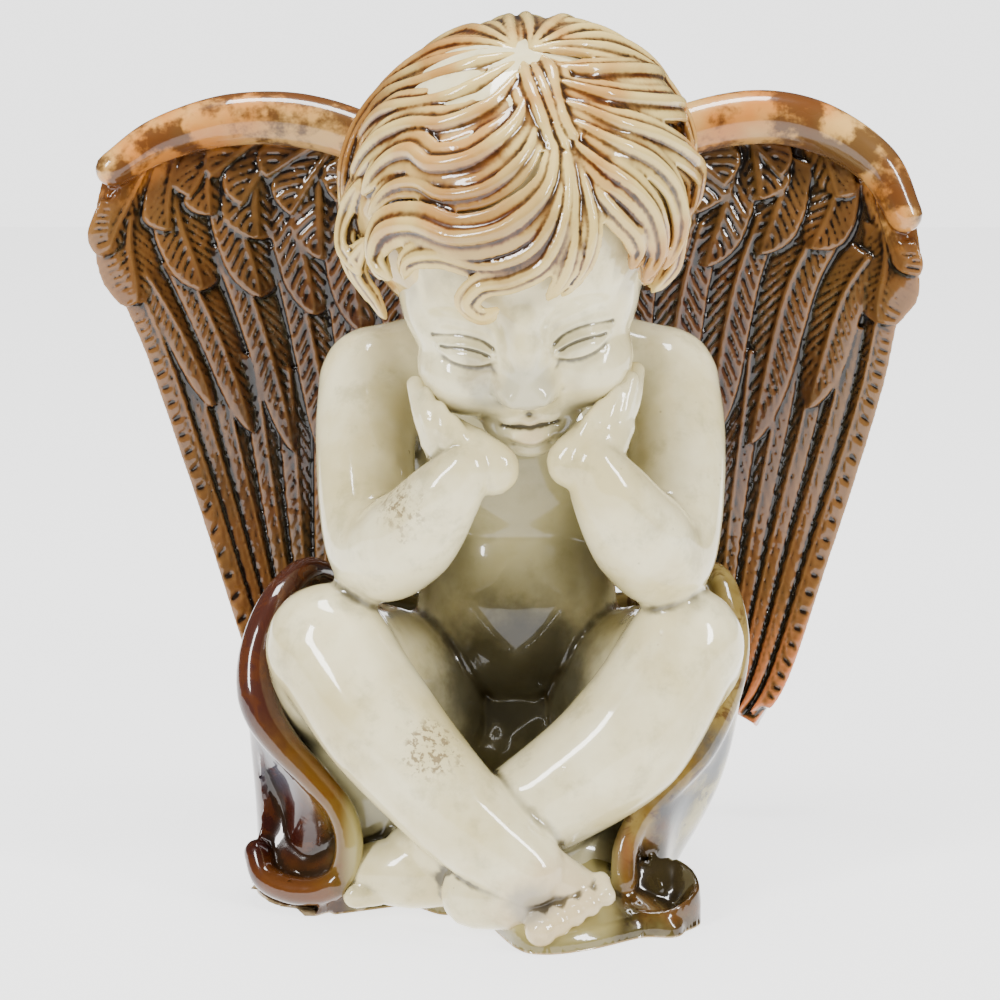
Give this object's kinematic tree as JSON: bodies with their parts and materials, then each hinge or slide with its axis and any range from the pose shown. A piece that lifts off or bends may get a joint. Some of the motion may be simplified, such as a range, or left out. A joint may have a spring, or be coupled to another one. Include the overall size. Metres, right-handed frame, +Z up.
{
  "type": "seated cherub figurine",
  "caption": "Glazed ceramic winged child, seated cross-legged with its chin in its hands and a cloth about its hips; stands on its flat underside",
  "frame": {"origin": "middle of the bounding box, on the plane that the underside rests on", "axes": "+X is the viewer's right when facing the figure, +Y runs from the face to the wings, +Z is up"},
  "size_m": [0.2725, 0.1584, 0.2801],
  "materials": {
    "glazed_ceramic": "clear-glazed earthenware, cream with amber and brown glazes"
  },
  "bodies": {
    "root": {"cherub_figurine": "glazed_ceramic"}
  },
  "joints": []
}
